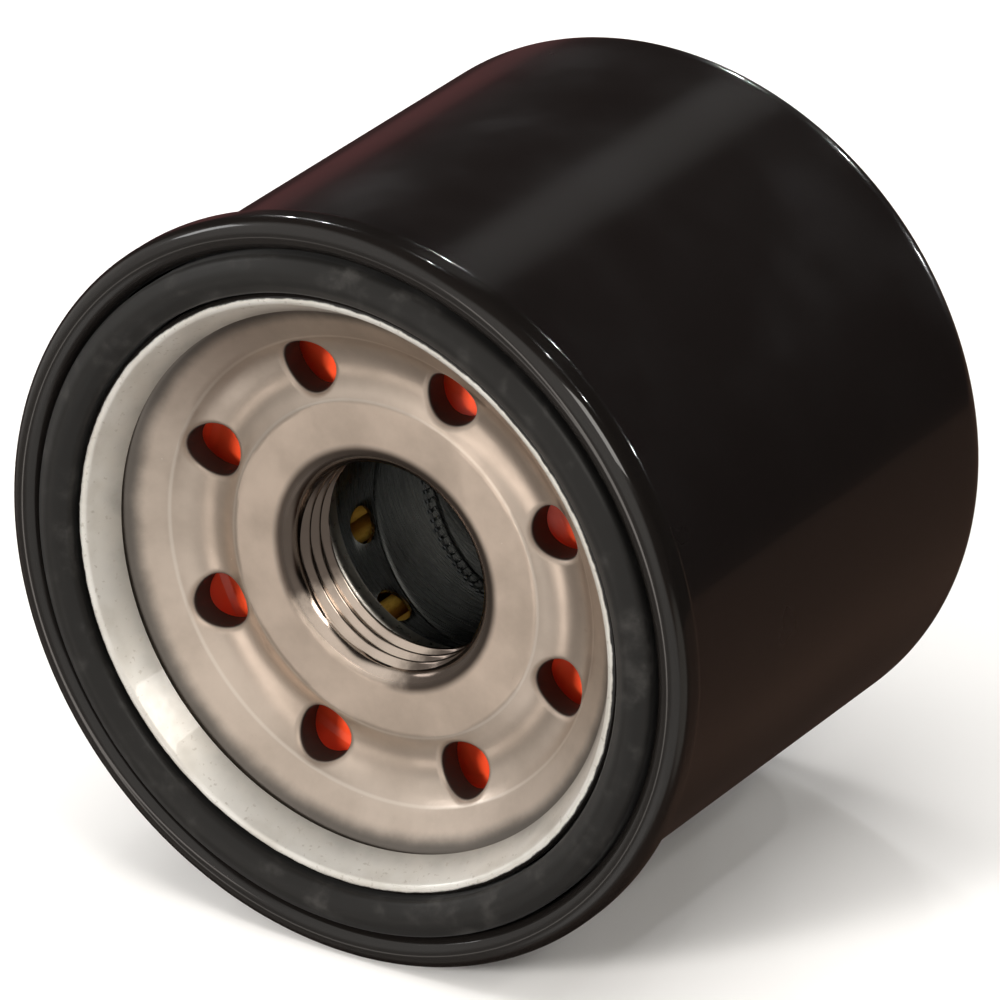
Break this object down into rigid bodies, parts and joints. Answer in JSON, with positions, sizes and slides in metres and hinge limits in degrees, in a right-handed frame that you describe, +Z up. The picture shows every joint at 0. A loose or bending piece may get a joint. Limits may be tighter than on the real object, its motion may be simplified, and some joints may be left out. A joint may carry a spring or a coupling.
{
  "type": "oil filter",
  "caption": "Spin-on oil filter: black rolled-seam can, rubber gasket, dished plate with inlet holes and a threaded centre, and a pleated element with check and bypass valves inside.",
  "frame": {"origin": "on the filter's axis, in the plane of the gasket's sealing face, where the engine's pad meets it", "axes": "+Y along the axis from the gasket towards the closed end, +Z up with the filter lying on its side, +X to the right seen from the gasket's side"},
  "size_m": [0.0676, 0.0549, 0.0676],
  "materials": {
    "can_paint": "gloss black enamel",
    "lid_steel": "gloss black enamel outside; bare cream-grey plating on the inner lip",
    "seam_compound": "matte",
    "gasket_rubber": "matte with a soft sheen",
    "plate_steel": "satin",
    "valve_rubber": "satin silicone",
    "cap_steel": "satin tinplate",
    "bond_compound": "matte",
    "filter_paper": "matte resin-treated paper",
    "clip_steel": "satin",
    "tube_steel": "bright",
    "valve_steel": "satin",
    "seal_rubber": "matte",
    "spring_steel": "bright",
    "leaf_steel": "blued satin"
  },
  "bodies": {
    "can": {"shell": "can_paint", "seaming_lid": "lid_steel", "seam_compound": "seam_compound", "gasket": "gasket_rubber", "base_plate": "plate_steel", "support_spring": "leaf_steel"},
    "element": {"lower_end_cap": "cap_steel", "lower_bond": "bond_compound", "pleated_media": "filter_paper", "media_seam_clip": "clip_steel", "centre_tube": "tube_steel", "upper_bond": "bond_compound", "upper_end_cap": "cap_steel", "bypass_seat": "valve_steel", "bypass_cage": "valve_steel", "bypass_spring": "spring_steel"},
    "bypass_poppet": {"bypass_disc": "valve_steel", "bypass_seal": "seal_rubber", "bypass_rivet": "valve_steel"},
    "check_valve": {"anti_drain_valve": "valve_rubber"}
  },
  "joints": [
    {"name": "element_float", "type": "slide", "parent": "can", "child": "element", "axis": [0, 1, 0], "range_m": [0, 0.0015], "stiffness_N_per_m": 10000, "deforming": ["support_spring"]},
    {"name": "bypass_open", "type": "slide", "parent": "element", "child": "bypass_poppet", "axis": [0, -1, 0], "range_m": [0, 0.0025], "stiffness_N_per_m": 2000, "deforming": ["bypass_spring"]},
    {"name": "check_valve_lift", "type": "slide", "parent": "can", "child": "check_valve", "axis": [0, 1, 0], "range_m": [0, 0.0012], "stiffness_N_per_m": 200, "deforming": ["anti_drain_valve"]}
  ]
}
